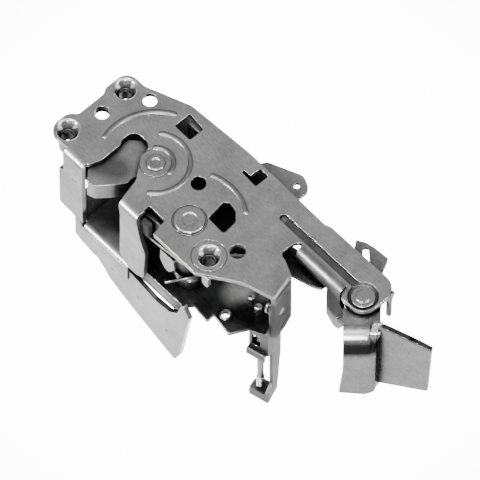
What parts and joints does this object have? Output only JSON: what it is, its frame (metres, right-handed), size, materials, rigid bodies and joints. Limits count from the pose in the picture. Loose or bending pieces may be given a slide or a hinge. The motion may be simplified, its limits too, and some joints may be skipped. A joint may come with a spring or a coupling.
{
  "type": "door latch",
  "caption": "Vehicle door latch: folded steel face plate with a striker throat, fork bolt and pawl, an outside-handle lever on a long arm, and a lock lever with a rod pin.",
  "frame": {"origin": "Screw place C of the face plate, on the flat outer face", "axes": "+X along the plate towards the arm's end, +Y from the open near side to the far edge, +Z out of the outer face towards the door's edge"},
  "size_m": [0.2103, 0.0826, 0.1054],
  "materials": {
    "plated_steel": "satin zinc plate",
    "rivet_steel": "plated, burnished heads",
    "fork_steel": "plated, worn smooth",
    "lever_steel": "satin zinc plate",
    "spring_steel": "dark spring wire",
    "dark_rubber": "moulded rubber"
  },
  "bodies": {
    "frame": {"face_plate": "plated_steel", "ear_plate": "plated_steel", "back_plate": "plated_steel", "fork_rivet": "rivet_steel", "pawl_rivet": "rivet_steel", "arm_rivet": "rivet_steel", "fork_spacer": "rivet_steel", "pawl_spacer": "rivet_steel", "arm_washer": "rivet_steel", "lock_rivet": "rivet_steel", "eyelet": "rivet_steel", "stud_a": "rivet_steel", "stud_b": "rivet_steel", "bumper": "dark_rubber", "fork_spring": "spring_steel", "pawl_spring": "spring_steel", "arm_spring": "spring_steel"},
    "fork": {"fork_bolt": "fork_steel"},
    "pawl": {"pawl": "fork_steel"},
    "handle": {"handle_lever": "lever_steel"},
    "slotted": {"slotted_lever": "lever_steel"},
    "link": {"transfer_link": "lever_steel"},
    "release": {"release_lever": "lever_steel"},
    "lock": {"lock_lever": "lever_steel", "rod_pin": "rivet_steel"}
  },
  "joints": [
    {"name": "fork_turn", "type": "hinge", "parent": "frame", "child": "fork", "pos_m": [-0.055, 0.0164, -0.009], "axis": [0, 0, 1], "range_deg": [-97, 0], "stiffness_Nm_per_rad": 0.02},
    {"name": "pawl_turn", "type": "hinge", "parent": "frame", "child": "pawl", "pos_m": [-0.0206, 0.0065, -0.0085], "axis": [0, 0, 1], "range_deg": [-10, 0]},
    {"name": "handle_turn", "type": "hinge", "parent": "frame", "child": "handle", "pos_m": [0.066, 0.0386, -0.0058], "axis": [0, 0, 1], "range_deg": [0, 20], "stiffness_Nm_per_rad": 0.3},
    {"name": "slotted_turn", "type": "hinge", "parent": "frame", "child": "slotted", "pos_m": [0.066, 0.0386, -0.0095], "axis": [0, 0, 1], "range_deg": [0, 20], "stiffness_Nm_per_rad": 0.2},
    {"name": "link_slide", "type": "slide", "parent": "frame", "child": "link", "axis": [1, 0, 0], "range_m": [-0.0035, 0]},
    {"name": "release_turn", "type": "hinge", "parent": "frame", "child": "release", "pos_m": [-0.0206, 0.0065, -0.019], "axis": [0, 0, 1], "range_deg": [0, 9.8]},
    {"name": "lock_turn", "type": "hinge", "parent": "frame", "child": "lock", "pos_m": [0.0375, 0.01282, -0.02], "axis": [-0.9703, -0.2419, 0], "range_deg": [0, 18]}
  ],
  "couplings": [
    {"joint": "link_slide", "follows": "slotted_turn", "m_per_rad": -0.01},
    {"joint": "release_turn", "follows": "slotted_turn", "ratio": 0.4878}
  ]
}
